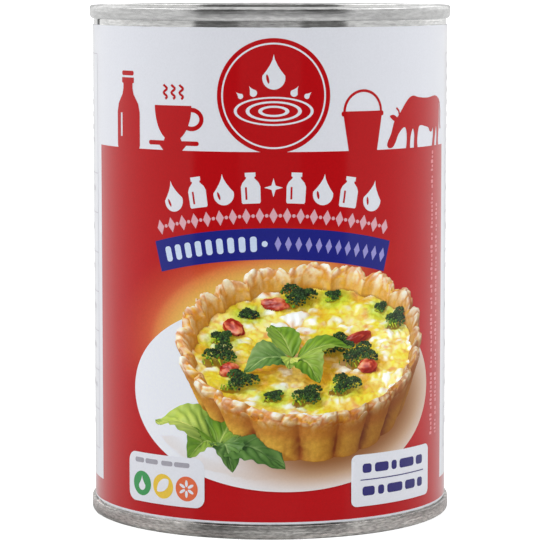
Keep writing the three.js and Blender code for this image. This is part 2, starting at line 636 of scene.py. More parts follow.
def make_figures(red):
    """A badge and four dairy figures that stand on the red field."""
    layer = Print("figures_red", red)
    foot = RED_TOP - 0.3
    layer.add(ellipse(DISC_U, DISC_V, DISC_RADIUS, DISC_RADIUS, 96))
    # A bottle with its cap and a light along its side
    half = [(0, foot), (3.5, foot), (3.75, 78.9), (3.75, 85.6), (3.3, 87.3), (1.9, 89.2), (1.55, 90.4)]
    half += [(1.55, 91.4), (2.0, 91.6), (2.0, 92.6), (0, 92.6)]
    bottle, cup, pail = -33.0, -20.6, 19.6
    shine = [(bottle - x, y) for x, y in ((2.55, 80.6), (1.95, 80.6), (1.95, 85.4), (2.55, 85.4))]
    layer.add(mirrored(half, bottle), holes=[shine])
    layer.add(pill(bottle, 93.5, 3.9, 0.95, 0.4))
    # A cup on a saucer, with steam
    bowl = [(cup - 4.4, 87.3), (cup + 4.4, 87.3)]
    bowl += ellipse(cup, 87.3, 4.4, 7.2, 20, -0.18, 0.0)[::-1][1:]
    bowl += [(cup + 2.2, 80.0), (cup - 2.2, 80.0)]
    bowl += ellipse(cup, 87.3, 4.4, 7.2, 20, 0.5, 0.68)[::-1][:-1]
    layer.add(bowl)
    layer.add(stroke(ellipse(cup + 4.4, 84.6, 2.2, 1.9, 24, -0.33, 0.33), 0.9), JOIN_LIFT)
    layer.add(pill(cup, 79.75, 12.0, 0.9), JOIN_LIFT)
    layer.add([(cup - 2.0, 78.0), (cup + 2.0, 78.0), (cup + 3.4, 79.5), (cup - 3.4, 79.5)])
    for side in (-1.7, 0.2, 2.1):
        wave = [(cup + side + 0.4 * math.sin(t * 0.68), 88.6 + 0.18 * t) for t in range(17)]
        layer.add(stroke(wave, 0.5))
    # A pail with a raised handle
    layer.add([(pail - 3.3, foot), (pail + 3.3, foot), (pail + 4.5, 85.3), (pail - 4.5, 85.3)])
    layer.add(pill(pail, 85.7, 9.9, 1.0, 0.4), JOIN_LIFT)
    layer.add(stroke(ellipse(pail, 86.1, 4.3, 4.2, 28, 0.0, 0.5), 0.55))
    # A cow that grazes
    cow = [
        (33.4, 88.9), (31.9, 88.4), (30.6, 87.2), (29.5, 85.9), (28.6, 84.9), (27.7, 84.2), (27.2, 83.0),
        (26.6, 81.3), (25.8, 79.9), (25.6, 79.0), (26.2, 78.5), (27.2, 78.7), (28.0, 79.8), (28.6, 81.0),
        (29.5, 82.0), (30.5, 82.6), (31.1, 82.0), (31.3, 80.4), (31.2, 79.0), (31.1, foot), (32.3, foot),
        (32.4, 79.4), (32.7, 81.0), (33.3, 82.2), (33.8, 81.0), (33.7, 79.0), (33.8, foot), (35.0, foot),
        (34.9, 79.4), (35.1, 81.2), (35.8, 82.7), (37.8, 82.5), (39.4, 82.1), (40.1, 81.3), (41.0, 81.3),
        (41.5, 82.0), (41.7, 80.8), (41.4, 79.2), (41.2, foot), (42.4, foot), (42.6, 79.4), (43.0, 81.0),
        (43.4, 82.2), (43.7, 80.8), (43.6, 79.2), (43.5, foot), (44.7, foot), (44.7, 79.6), (45.0, 81.6),
        (45.2, 84.0), (45.1, 86.6), (44.5, 88.0), (42.5, 88.6), (39.0, 88.3), (35.5, 88.5),
    ]
    layer.add(smooth(cow, 4))
    ear = [(28.4, 84.5), (27.4, 85.2), (26.3, 85.0), (26.9, 84.3), (27.8, 83.9)]
    layer.add(smooth(ear, 4), JOIN_LIFT)
    layer.add(stroke([(29.0, 85.2), (28.8, 86.0), (28.1, 86.6)], 0.42), JOIN_LIFT)
    tail = [(44.6, 87.8), (45.5, 86.9), (45.9, 85.0), (45.8, 83.0), (46.0, 81.6)]
    layer.add(stroke(tail, 0.5), JOIN_LIFT)
    return layer.finish()


def make_emblem(white):
    """A milk drop over its ripples in the badge, inside a thin ring."""
    layer = Print("emblem_white", white)
    sizes = (DISC_RADIUS - 0.9, DISC_RADIUS - 1.25)
    rim, inside = (ellipse(DISC_U, DISC_V, size, size, 96) for size in sizes)
    layer.add(rim, RING_LIFT, [inside])
    shine_u, shine_v = DISC_U - 1.2, 92.8
    shine = turned(ellipse(shine_u, shine_v, 0.28, 0.95, 12), shine_u, shine_v, 12)
    layer.add(drop(DISC_U, 94.2, 4.6, 7.0), OVER_LIFT, [shine])
    for size, thick in ((3.1, 0.8), (5.6, 0.75), (8.0, 0.6)):
        ring = ellipse(DISC_U, 86.4, size, size * 0.36, 48)
        inner = ellipse(DISC_U, 86.4, size - thick, (size - thick) * 0.36 - 0.12, 48)
        layer.add(ring, OVER_LIFT, [inner])
    for side in (-1, 1):
        for reach, v, width, height, lean in ((4.3, 90.4, 1.5, 2.4, 32), (6.9, 89.6, 1.1, 1.8, 48)):
            u = DISC_U + side * reach
            layer.add(turned(drop(u, v, width, height), u, v, -side * lean), OVER_LIFT)
    return layer.finish()


# The picture of a tart on a plate
# It is modelled as a little scene in plate millimetres: X to the right, Y away, Z up.
# Seen from above the front edge, it is pressed flat on the label with its light worked out.

PLATE_U = 4.0
PLATE_V = 28.0
VIEW_TILT = math.radians(34.0)
NEARNESS_SCALE = 0.0015
NEAREST = 32.0
TOWARD_VIEWER = Vector((0.0, -math.cos(VIEW_TILT), math.sin(VIEW_TILT)))

PLATE_RADIUS = 35.0
TART_X = 4.5
FLUTES = 20
RIM_RADIUS = 28.0
RIM_HEIGHT = 12.9
FILLING_RADIUS = 24.8
FILLING_HEIGHT = 10.8
SHADE_TURN = math.radians(-38.0)

# The light falls from the left and a little behind, with a weak fill from the front left
KEY_LIGHT = Vector((-0.42, 0.17, 0.89)).normalized()
FILL_LIGHT = Vector((-0.66, -0.56, 0.50)).normalized()
KEY_SHARE = 0.55
FILL_SHARE = 0.60
SKY_SHARE = 0.60
LEAST_LIGHT = 0.1
SKY_RAYS = 12
LIGHT_REACH = 40.0
GOLDEN_ANGLE = math.radians(137.5)

# How fast red, green and blue fall off as a thing's light drops
PLATE_FALL = (0.50, 0.98, 1.45)
CRUST_FALL = (0.62, 0.95, 1.45)
FILLING_FALL = (0.45, 0.75, 1.30)
LEAF_FALL = (1.10, 0.85, 1.00)
FLORET_FALL = (0.90, 0.80, 0.85)
TOMATO_FALL = (0.60, 1.15, 1.20)


def soft(x, y, scale, seed):
    return noise.noise(Vector((x / scale, y / scale, seed)))


def cells(x, y, size, seed):
    """The nearest cell of a scatter: how far its middle is, how near its border, its chance."""
    place = Vector((x / size, y / size, seed))
    wander = noise.noise_vector(place * 1.9) * 0.28
    distances, centres = noise.voronoi(place + wander)
    chance = noise.noise(centres[0] * 5.3)
    return distances[0], distances[1] - distances[0], chance


def rounded(far, size):
    """The height of a round dome, 1 over its middle and 0 at its edge."""
    return math.sqrt(max(0.0, 1 - (far / size) ** 2))


def blend(a, b, share):
    share = max(0.0, min(1.0, share))
    return tuple(p + (q - p) * share for p, q in zip(a, b))


def ramp(value, low, high):
    return eased(max(0.0, min(1.0, (value - low) / (high - low))))


class Form:
    """One kind of thing in the picture, as points, colours and triangles."""

    def __init__(self, name, fall, gain=1.0, glow=0.0, gloss=0.0, most=1.35, keyed=False):
        self.name, self.fall, self.gain = name, fall, gain
        self.glow, self.gloss, self.most = glow, gloss, most
        self.keyed, self.leak = keyed, 0.5 if keyed else 0.0
        self.points, self.colours, self.faces = [], [], []

    def grid(self, across, along, place, closed):
        """A skin of across by along cells. place gives a point and colour from two shares."""
        first = len(self.points)
        columns = across if closed else across + 1
        for i in range(columns):
            for j in range(along + 1):
                point, colour = place(i / across, j / along)
                self.points.append(point)
                self.colours.append(colour)
        row = along + 1
        for i in range(across):
            k = (i + 1) % columns
            for j in range(along):
                a, b = first + i * row + j, first + k * row + j
                self.faces += [(a, b, b + 1), (a, b + 1, a + 1)]

    def ball(self, centre, size, colour):
        """A lump from the shared ball, with its own three half sizes."""
        first = len(self.points)
        for p in BALL_POINTS:
            self.points.append(tuple(c + q * s for c, q, s in zip(centre, p, size)))
            self.colours.append(colour)
        self.faces += [tuple(first + i for i in face) for face in BALL_FACES]


def ball_template():
    made = bmesh.new()
    bmesh.ops.create_icosphere(made, subdivisions=1, radius=1.0)
    points = [tuple(v.co) for v in made.verts]
    faces = [tuple(v.index for v in face.verts) for face in made.faces]
    made.free()
    return points, faces


BALL_POINTS, BALL_FACES = ball_template()


def plate_form():
    """A plain plate, with the tart's warm shade close to its right and its front."""
    form = Form("picture_plate", PLATE_FALL, 1.3, most=1.0, keyed=True)
    white, warm, deep = ink(216, 219, 226), ink(204, 166, 124), ink(132, 84, 46)

    def place(turn, share):
        angle = 2 * math.pi * turn
        radius = PLATE_RADIUS * (1 - share)
        x, y = radius * math.cos(angle), radius * math.sin(angle)
        rise = 1.5 * max(0.0, (radius - 26.5) / 8.5) ** 1.4
        away = max(0.0, math.hypot(x - TART_X, y) - 21.4)
        side = ramp(math.cos(math.atan2(y, x - TART_X) - SHADE_TURN), -0.35, 0.7)
        colour = blend(white, warm, 0.95 * side * math.exp(-(away / 12.0) ** 2.4))
        colour = blend(colour, deep, side * math.exp(-(away / 7.0) ** 1.8))
        return (x, y, rise), colour

    form.grid(240, 80, place, True)
    return form


LOBE_SIZE = 3.1
CRUMB_SIZE = 1.2

# The crust from its foot to the filling: share of the way, radius and height
CRUST_PROFILE = (
    (0.00, 21.4, 0.0), (0.05, 22.6, 0.3), (0.30, 24.6, 4.6), (0.56, 26.6, 9.4), (0.64, 27.5, 11.4),
    (0.70, 28.1, 12.6), (0.77, 27.9, 13.8), (0.85, 26.7, 14.2), (0.93, 25.4, 13.0), (1.00, 24.2, 9.8),
)


def between_rows(rows, t):
    for (t0, r0, z0), (t1, r1, z1) in zip(rows, rows[1:]):
        if t <= t1:
            share = (t - t0) / (t1 - t0)
            return r0 + (r1 - r0) * share, z0 + (z1 - z0) * share
    return rows[-1][1:]


def crust_form():
    """A fluted wall that leans out, under a rim of crumbly lobes."""
    form = Form("picture_crust", CRUST_FALL, 1.3, 0.22)
    gold, crease, toast = ink(230, 192, 84), ink(158, 88, 36), ink(204, 140, 62)
    cream, amber, crack = ink(238, 233, 212), ink(220, 168, 54), ink(196, 110, 30)
    dimmed = (0.32, 0.42, 0.50)

    def place(turn, t):
        angle = 2 * math.pi * turn
        wander = angle + 0.05 * math.sin(2 * angle + 0.7) + 0.03 * math.sin(5 * angle)
        across = math.cos(FLUTES * wander / 2)
        flute = abs(across) ** 0.75
        radius, height = between_rows(CRUST_PROFILE, t)
        x, y = math.cos(angle), math.sin(angle)
        rim, inner = ramp(t, 0.58, 0.72), ramp(t, 0.84, 1.0)
        low = 1 - ramp(t, 0.0, 0.2)
        far, border, chance = cells(x * radius, y * radius, LOBE_SIZE, height / LOBE_SIZE)
        crumb = soft(x * radius, y * radius + height, 1.0, 3.0)
        dome = rounded(far, 0.95)
        chance *= ramp(border, 0.0, 0.25)
        grit = rounded(cells(x * radius, y * radius, CRUMB_SIZE, height / CRUMB_SIZE)[0], 0.9) - 0.6
        radius -= (1.9 - 1.1 * low - 0.9 * inner) * (1 - flute) - 0.12 * crumb
        radius += rim * (1 - inner) * (1.1 * dome - 0.5 + 0.4 * chance + 0.35 * grit)
        crown = 1.5 * dome - 0.6 + 1.1 * chance + 1.0 * (flute - 0.8) + 0.3 * crumb + 0.45 * grit
        crown *= rim * (1 - inner)
        height += crown
        wall = blend(crease, gold, 1.15 * flute + 0.3 * crumb - 0.1)
        wall = blend(wall, toast, 0.75 * ramp(t, 0.36, 0.6) * (1 - rim) + 0.3 * low)
        top = blend(amber, cream, 0.7 * dome + 0.5 * crown + 0.9 * crumb - 0.35)
        top = blend(top, crack, 0.8 * (1 - ramp(border, 0.0, 0.26)))
        top = blend(top, toast, 1.4 * (-chance - 0.1) + 0.8 * crumb - 0.7 * grit)
        top = blend(top, amber, 0.8 * inner)
        shade = ramp(x - 0.35 * y, 0.1, 1.0)
        colour = [c * (1 - shade * d) for c, d in zip(blend(wall, top, rim), dimmed)]
        return (TART_X + radius * x, radius * y, height), colour

    form.grid(840, 56, place, True)
    return form


def scattered(count, inner, outer, start, apart, avoid):
    """Even places on the filling, by the golden angle, kept off a list of (x, y, radius)."""
    places = []
    for k in range(400):
        angle = math.radians(137.5 * k + start)
        radius = inner + (outer - inner) * math.sqrt((k * 0.618) % 1.0)
        x, y = radius * math.cos(angle), radius * math.sin(angle)
        if all(math.hypot(x - a, y - b) > r for a, b, r in avoid) and len(places) < count:
            places.append((x, y))
            avoid = avoid + [(x, y, apart)]
    return places


LEAF_SPOT = (-4.0, -3.0)
FLORET_SPOTS = scattered(13, 6.0, 22.6, 25.0, 6.4, [(*LEAF_SPOT, 8.5)])
AROUND_FLORETS = [(x, y, 4.4) for x, y in FLORET_SPOTS]
TOMATO_SPOTS = scattered(5, 7.0, 20.5, 60.0, 9.0, [(*LEAF_SPOT, 7.5)] + AROUND_FLORETS)


CURD_SIZE = 3.9
CURD_SEED = 7.7


def filling_height(x, y):
    far, border, chance = cells(x, y, CURD_SIZE, CURD_SEED)
    curd = 1.0 * rounded(far, 0.95) - 0.6 + 0.7 * chance * ramp(border, 0.0, 0.4)
    return FILLING_HEIGHT + curd + 0.5 * soft(x, y, 5.0, 1.0) + 0.25 * soft(x, y, 1.1, 2.0)


def filling_form():
    """Baked curds, in yellows and creams with browned and green-tinged places."""
    form = Form("picture_filling", FILLING_FALL, 1.25, 0.14, 0.3)
    yellow, pale, white = ink(224, 204, 46), ink(238, 228, 128), ink(236, 234, 222)
    deep, browned, green = ink(216, 164, 34), ink(214, 146, 66), ink(176, 190, 40)

    def place(turn, share):
        angle = 2 * math.pi * turn
        radius = FILLING_RADIUS * (1 - share)
        x, y = radius * math.cos(angle), radius * math.sin(angle)
        border, chance = cells(x, y, CURD_SIZE, CURD_SEED)[1:]
        area = soft(x, y, 7.5, 8.0)
        fine = soft(x, y, 1.3, 8.5)
        colour = blend(yellow, pale, 0.5 + 2.2 * area + 0.9 * fine)
        colour = blend(colour, deep, 1.9 * soft(x, y, 4.6, 21.0))
        inside = ramp(border, 0.0, 0.35)
        colour = blend(colour, white, 2.6 * (chance + 1.0 * area + 0.5 * fine + 0.08) * inside)
        crease = 0.6 * (1 - ramp(border, 0.0, 0.3)) * (0.6 + fine)
        colour = blend(colour, deep, 2.4 * (-chance - 0.22) * inside + crease)
        edge = 0.4 * (radius / FILLING_RADIUS) ** 9
        colour = blend(colour, browned, 2.6 * (soft(x, y, 2.6, 14.0) - 0.3) + edge)
        near = min(math.hypot(x - a, y - b) for a, b in FLORET_SPOTS)
        colour = blend(colour, green, 0.8 * (1 - ramp(near, 2.0, 5.2)))
        return (TART_X + x, y, filling_height(x, y)), colour

    form.grid(420, 84, place, True)
    return form


def florets_form(rng):
    """Each is a pale stem and a few heads of small dark buds."""
    form = Form("picture_florets", FLORET_FALL, 1.2, 0.05, 0.03)
    dark, mid, bright = ink(34, 42, 34), ink(56, 84, 50), ink(104, 156, 44)
    stem = ink(186, 204, 40)
    for number, (x, y) in enumerate(FLORET_SPOTS):
        base = filling_height(x, y)
        scale = (1.35, 0.7, 1.0, 0.55, 1.2)[number % 5] * rng.uniform(1.0, 1.25)
        lean = rng.uniform(0, 2 * math.pi)
        for k in range(4):
            stem_x = TART_X + x - rng.uniform(0.0, 2.2) * scale
            stem_y = y - rng.uniform(0.8, 1.9) * scale
            tone = blend(stem, bright, rng.uniform(0, 0.6))
            form.ball((stem_x, stem_y, base + 0.15), (1.3 * scale, 0.9 * scale, 0.7 * scale), tone)
        for head in range(4):
            angle = lean + 2 * math.pi * head / 3
            reach = (1.35 if head < 3 else 0.0) * scale
            size = rng.uniform(1.1, 1.6) * scale
            centre_x = x + reach * math.cos(angle) * 1.15
            centre_y = y + reach * math.sin(angle)
            buds = int(26 * size)
            for k in range(buds):
                turn = GOLDEN_ANGLE * k
                out = math.sqrt((k + 0.5) / buds)
                dome = math.sqrt(max(0.0, 1.0 - 0.92 * out * out))
                spot = (
                    TART_X + centre_x + size * out * math.cos(turn) + rng.uniform(-0.12, 0.12),
                    centre_y + size * out * math.sin(turn) + rng.uniform(-0.12, 0.12),
                    base + 0.35 + 0.95 * size * dome + rng.uniform(-0.15, 0.15),
                )
                bud = rng.uniform(0.2, 0.4)
                tone = blend(dark, mid, 1.5 * rng.random() - 0.5)
                tone = blend(tone, bright, (0.25 + 0.9 * ramp(out, 0.6, 1.0)) * rng.random() ** 1.5)
                form.ball(spot, (bud, bud, bud), tone)
    return form


def tomatoes_form(rng):
    """Soft chunks of baked tomato, half sunk in the filling."""
    form = Form("picture_tomatoes", TOMATO_FALL, 1.15, 0.12, 0.55)
    red, deep, pale = ink(200, 66, 34), ink(150, 28, 16), ink(222, 150, 100)
    for number, (x, y) in enumerate(TOMATO_SPOTS):
        base = filling_height(x, y)
        lean = rng.uniform(0, math.pi)
        length, width = rng.uniform(1.8, 3.6), rng.uniform(1.1, 2.2)

        def place(turn, share):
            angle, tilt = 2 * math.pi * turn, math.pi * (share - 0.5)
            ring = math.cos(tilt)
            spot = Vector((ring * math.cos(angle), ring * math.sin(angle), tilt + number * 3.1))
            lump = noise.noise(spot * 1.1) + 0.45 * noise.noise(spot * 3.2)
            size = 1 + 0.3 * lump
            along, aside = length * size * ring * math.cos(angle), width * size * ring * math.sin(angle)
            rise = 1.25 * size * math.sin(tilt)
            colour = blend(blend(red, deep, 0.4 - 2.2 * lump), pale, 1.8 * lump - 0.1)
            return (
                TART_X + x + along * math.cos(lean) - aside * math.sin(lean),
                y + along * math.sin(lean) + aside * math.cos(lean), base + 0.5 + rise,
            ), colour

        form.grid(36, 16, place, True)
    return form


def leaf(form, foot, heading, length, width, rise, bend, tones, side=0.0):
    """A basil leaf from its foot, with a folded midrib and puckers between its veins."""
    dark, mid, light = tones
    c, s = math.cos(math.radians(heading)), math.sin(math.radians(heading))

    def place(share, across):
        t = 2 * across - 1
        half = width / 2 * math.sin(math.pi * share ** 0.72) ** 0.8 * (1.12 - 0.3 * share)
        vein = (share * 5.5 - abs(t) * 1.7) % 1.0
        pucker = math.sin(math.pi * vein) * min(1.0, abs(t) * 5) * (1 - 0.6 * abs(t))
        wave = 0.5 * soft(share * 4 + heading, t * 2, 1.0, length)
        ahead = length * share + 0.2 * abs(t) * half
        aside = half * t * (1 + 0.05 * math.sin(share * 40))
        height = rise * math.sin(math.pi * min(1.0, share * 1.1)) + bend * share ** 2
        height += 0.05 * width * pucker + 0.28 * half * abs(t) ** 1.4
        height += side * half * t + 0.06 * width * wave
        rib = max(0.0, 1 - abs(t) * 14) + 0.6 * max(0.0, 1 - min(vein, 1 - vein) * 8) * (1 - abs(t))
        colour = blend(dark, mid, 0.3 + 0.7 * pucker + 0.7 * wave)
        sheen = 0.75 * rib + 0.9 * max(0.0, wave) * (1 - share) + 0.3 * t * (1 if side >= 0 else -1)
        colour = blend(colour, light, sheen)
        return (foot[0] + ahead * c - aside * s, foot[1] + ahead * s + aside * c, foot[2] + height), colour

    form.grid(54, 30, place, False)


def leaves_form():
    form = Form("picture_leaves", LEAF_FALL, 1.15, 0.12, 0.16)
    lime = (ink(138, 168, 62), ink(178, 196, 84), ink(222, 220, 124))
    bright = (ink(72, 116, 28), ink(124, 162, 44), ink(192, 206, 110))
    deep = (ink(56, 96, 40), ink(100, 140, 64), ink(166, 192, 116))
    # The sprig on the plate
    foot = (-14.6, -20.0, 2.0)
    leaf(form, foot, 160, 15.5, 14.0, 3.4, 1.6, lime, 0.22)
    leaf(form, foot, 58, 13.5, 11.5, 3.4, 2.6, bright, -0.2)
    leaf(form, (foot[0], foot[1], 2.3), -24, 15.0, 12.5, 2.6, -1.2, deep, 0.18)
    leaf(form, (foot[0] + 0.4, foot[1], 2.5), 214, 8.5, 9.5, 2.4, -0.4, bright, 0.1)
    leaf(form, (foot[0] + 0.6, foot[1] - 0.6, 3.0), -72, 8.0, 7.5, 2.4, -1.4, deep, -0.1)
    # The leaves laid on the filling
    top = FILLING_HEIGHT + 1.6
    x, y = TART_X + LEAF_SPOT[0], LEAF_SPOT[1]
    leaf(form, (x, y + 0.6, top), 112, 11.5, 6.6, 1.8, 0.8, bright, 0.2)
    leaf(form, (x - 0.4, y - 0.6, top), 200, 10.0, 7.6, 2.2, -0.4, deep, -0.15)
    leaf(form, (x + 0.6, y - 0.6, top), -56, 9.0, 7.4, 2.2, -0.5, bright, 0.1)
    leaf(form, (x + 1.0, y + 0.2, top), 14, 12.0, 7.2, 2.0, 0.4, bright, -0.18)
    leaf(form, (x, y - 0.8, top + 0.6), 262, 4.5, 4.2, 1.4, 0.6, lime, 0.0)
    return form


def light_directions():
    """The key, the fill and a sky, as directions that each carry some of the light."""
    lights = []
    lamps = ((KEY_LIGHT, KEY_SHARE, 0.13, 8), (FILL_LIGHT, FILL_SHARE, 0.25, 4))
    for middle, share, spread, count in lamps:
        for k in range(count):
            angle = 2 * math.pi * k / count
            offset = Vector((math.cos(angle), math.sin(angle), 0.0)) * spread
            lights.append(((middle + offset).normalized(), share / count, middle is KEY_LIGHT))
    for k in range(SKY_RAYS):
        z = 0.1 + 0.86 * (k + 0.5) / SKY_RAYS
        angle = GOLDEN_ANGLE * k
        flat = math.sqrt(1 - z * z)
        direction = Vector((flat * math.cos(angle), flat * math.sin(angle), z))
        lights.append((direction, SKY_SHARE / SKY_RAYS, False))
    total = sum(weight * direction.z for direction, weight, key in lights)
    return [(direction, weight / total, key) for direction, weight, key in lights]


def vertex_normals(points, faces):
    a, b, c = (points[faces[:, k]] for k in range(3))
    flat = np.cross(b - a, c - a)
    normals = np.zeros_like(points)
    for k in range(3):
        np.add.at(normals, faces[:, k], flat)
    return normals / np.maximum(np.linalg.norm(normals, axis=1, keepdims=True), 1e-9), flat


def seen_faces(form, flat, tree):
    """The triangles that face the viewer and aren't behind one of the large forms."""
    chosen, clear = [], {}
    for face, facing in zip(form.faces, flat @ np.array(TOWARD_VIEWER)):
        if facing <= 0:
            continue
        for i in face:
            if i not in clear:
                start = Vector(form.points[i]) + TOWARD_VIEWER * 0.3
                clear[i] = tree.ray_cast(start, TOWARD_VIEWER)[0] is None
        if any(clear[i] for i in face):
            chosen.append(face)
    return chosen


def lit_colours(form, normals, used, tree, lights):
    """The colour of each used point under the picture's own light, shadows included."""
    facing = normals[used] @ np.array([tuple(direction) for direction, weight, key in lights]).T
    starts = [Vector(form.points[i]) + Vector(normals[i]) * 0.09 for i in used]
    light = np.zeros(len(used))
    key_light = np.zeros(len(used))
    for k, (direction, weight, key) in enumerate(lights):
        for row in np.nonzero(facing[:, k] > 0.02)[0]:
            open_sky = form.keyed and not key
            clear = open_sky or tree.ray_cast(starts[row], direction, LIGHT_REACH)[0] is None
            light[row] += weight * facing[row, k] * (1.0 if clear else form.leak)
            key_light[row] += weight if clear and key else 0.0
    light = np.clip(form.glow + (1 - form.glow) * light * form.gain, LEAST_LIGHT, form.most)
    halfway = np.array((KEY_LIGHT + TOWARD_VIEWER).normalized())
    shine = form.gloss * key_light * np.clip(normals[used] @ halfway, 0, 1) ** 24
    base = np.array([form.colours[i][:3] for i in used])
    return base * light[:, None] ** np.array(form.fall) + shine[:, None]


def joined_tree(forms):
    points, faces = [], []
    for form in forms:
        first = len(points)
        points += form.points
        faces += [tuple(first + i for i in face) for face in form.faces]
    return BVHTree.FromPolygons(points, faces, all_triangles=True)


def make_picture(rng):
    large = [plate_form(), crust_form(), filling_form()]
    small = [florets_form(rng), tomatoes_form(rng), leaves_form()]
    hiders = joined_tree(large)
    blockers = joined_tree(large + small)
    lights = light_directions()
    crumb = print_material("print_food", None, 0.08)
    even = print_material("print_even", None, 0.02)
    for form in large + small:
        normals, flat = vertex_normals(np.array(form.points), np.array(form.faces))
        chosen = seen_faces(form, flat, hiders)
        used = sorted({i for face in chosen for i in face})
        place = {i: k for k, i in enumerate(used)}
        flat_points = []
        for i in used:
            x, y, z = form.points[i]
            v = PLATE_V + z * math.cos(VIEW_TILT) + y * math.sin(VIEW_TILT)
            nearness = z * math.sin(VIEW_TILT) - y * math.cos(VIEW_TILT)
            flat_points.append(wrap(PLATE_U + x, v, PLATE_LIFT + NEARNESS_SCALE * (nearness + NEAREST)))
        mesh = bpy.data.meshes.new(form.name)
        mesh.from_pydata(flat_points, [], [tuple(place[i] for i in face) for face in chosen])
        paint(mesh, lit_colours(form, normals, used, blockers, lights))
        finish_print(form.name, mesh, crumb if form in large[1:] else even)


def paint(mesh, colours):
    layer = mesh.color_attributes.new("print", "FLOAT_COLOR", "POINT")
    layer.data.foreach_set("color", [value for colour in colours for value in (*colour[:3], 1.0)])


# The warm light behind the tart, in shares of its rim's outline
GLOW_FROM = 0.85
GLOW_TO = 1.7
GLOW_FADE = 0.25
GLOW_START = 52.0
GLOW_END = 212.0


def make_glow():
    """The warm light behind the tart's left and back, which fades into the red field."""
    gold, amber = ink(216, 174, 82), ink(202, 96, 56)
    centre_u, centre_v = PLATE_U + TART_X, PLATE_V + RIM_HEIGHT * math.cos(VIEW_TILT)
    turns, rings = 90, 34
    vertices, faces, colours = [], [], []
    for i in range(turns + 1):
        degrees = GLOW_START + (GLOW_END - GLOW_START) * i / turns
        angle = math.radians(degrees)
        weight = ramp(degrees, GLOW_START, 105.0) * (1 - ramp(degrees, 185.0, GLOW_END))
        for j in range(rings + 1):
            reach = GLOW_FROM + (GLOW_TO - GLOW_FROM) * j / rings
            fade = weight * math.exp(-(max(0.0, reach - 0.98) / GLOW_FADE) ** 1.5)
            fade *= 1 - ramp(reach, 1.5, GLOW_TO)
            u = centre_u + RIM_RADIUS * reach * math.cos(angle)
            v = centre_v + RIM_RADIUS * math.sin(VIEW_TILT) * reach * math.sin(angle)
            vertices.append(wrap(u, v, FIELD_LIFT))
            colours.append(blend(blend(RED, amber, fade * 2.2), gold, (fade - 0.3) * 1.6))
    for i in range(turns):
        for j in range(rings):
            a, b = i * (rings + 1) + j, (i + 1) * (rings + 1) + j
            faces.append((a, a + 1, b + 1, b))
    mesh = bpy.data.meshes.new("picture_glow")
    mesh.from_pydata(vertices, [], faces)
    paint(mesh, colours)
    return finish_print("picture_glow", mesh, print_material("print_glow", None, 0.05))


# The rows of ornament, the band and the boxes

TITLE_RADIUS = 106.8
TITLE_STRETCH = TITLE_RADIUS / 103.0
SECOND_RADIUS = 101.2
BAND_RADIUS = 95.55
BAND_HEIGHT = 6.3
BAND_HALF_TURN = math.radians(15.1)
BAND_CUTS = 48


def little_bottle():
    half = [(0, -3.1), (1.75, -3.1), (1.95, -2.8), (1.95, 0.3), (1.6, 1.1), (0.85, 1.9), (0.8, 2.2)]
    return mirrored(half + [(1.05, 2.3), (1.05, 3.1), (0, 3.1)])


def make_title(white):
    """Milk drops and little bottles in an arch."""
    layer = Print("title_row", white)
    shine = turned(ellipse(-1.05, -1.2, 0.26, 0.85, 10), -1.05, -1.2, 14)
    slot = [(-1.15, -2.3), (-0.75, -2.3), (-0.75, 0.2), (-1.15, 0.2)]
    dropped, bottled = (drop(0, 0, 4.3, 6.3), shine), (little_bottle(), slot)
    row = (dropped, bottled, dropped, bottled, bottled, dropped, bottled, dropped)
    for i, shapes in enumerate(row):
        along = (5.4 * (i - 3.5) + (1.7 if i > 3 else -1.7)) * TITLE_STRETCH
        shape, hole = (arched(points, TITLE_RADIUS, along) for points in shapes)
        layer.add(shape, holes=[hole])
    star = [turned([(1.9, 0), (0.42, 0.42)], 0, 0, 90 * k) for k in range(4)]
    layer.add(arched([point for pair in star for point in pair], TITLE_RADIUS, 0.0))
    return layer.finish()


def lozenge(width, height):
    return [(width / 2, 0), (0, height / 2), (-width / 2, 0), (0, -height / 2)]


def make_second_row(pink):
    """A chain of lozenges and dots under the arch."""
    layer = Print("second_row", pink)
    count = 19
    for i in range(count):
        along = (i - (count - 1) / 2) * 2.72
        layer.add(arched(lozenge(1.7, 3.1), SECOND_RADIUS, along))
        if i < count - 1:
            layer.add(arched(ellipse(1.36, 0, 0.36, 0.36, 12), SECOND_RADIUS, along))
    return layer.finish()


def make_band(blue):
    layer = Print("band_blue", blue)
    half = BAND_RADIUS * BAND_HALF_TURN
    edge = [half * (2 * i / BAND_CUTS - 1) for i in range(BAND_CUTS + 1)]
    outline = [(x, -BAND_HEIGHT / 2) for x in edge] + [(x, BAND_HEIGHT / 2) for x in edge[::-1]]
    layer.add(arched(outline, BAND_RADIUS, 0.0))
    return layer.finish()


def make_band_rows(pale, lavender):
    """Bold pale marks on the band's left half, and finer lavender ones on its right."""
    bold = Print("band_row_pale", pale)
    for i in range(9):
        bold.add(arched(pill(0, 0, 1.35, 3.1, 0.55), BAND_RADIUS, 2.3 * i - 22.4), OVER_LIFT)
    bold.add(arched(ellipse(0, 0, 0.6, 0.6, 14), BAND_RADIUS, -1.75), OVER_LIFT)
    bold.finish()
    fine = Print("band_row_lavender", lavender)
    for i in range(12):
        fine.add(arched(lozenge(1.35, 3.0), BAND_RADIUS, 2.08 * i + 0.9), OVER_LIFT)
    fine.finish()


BOX_LEFT = (-23.2, 10.9)
BOX_RIGHT = (28.4, 11.15)
BADGE_PLACES = ((-28.9, "badge_green"), (-23.2, "badge_gold"), (-17.5, "badge_coral"))


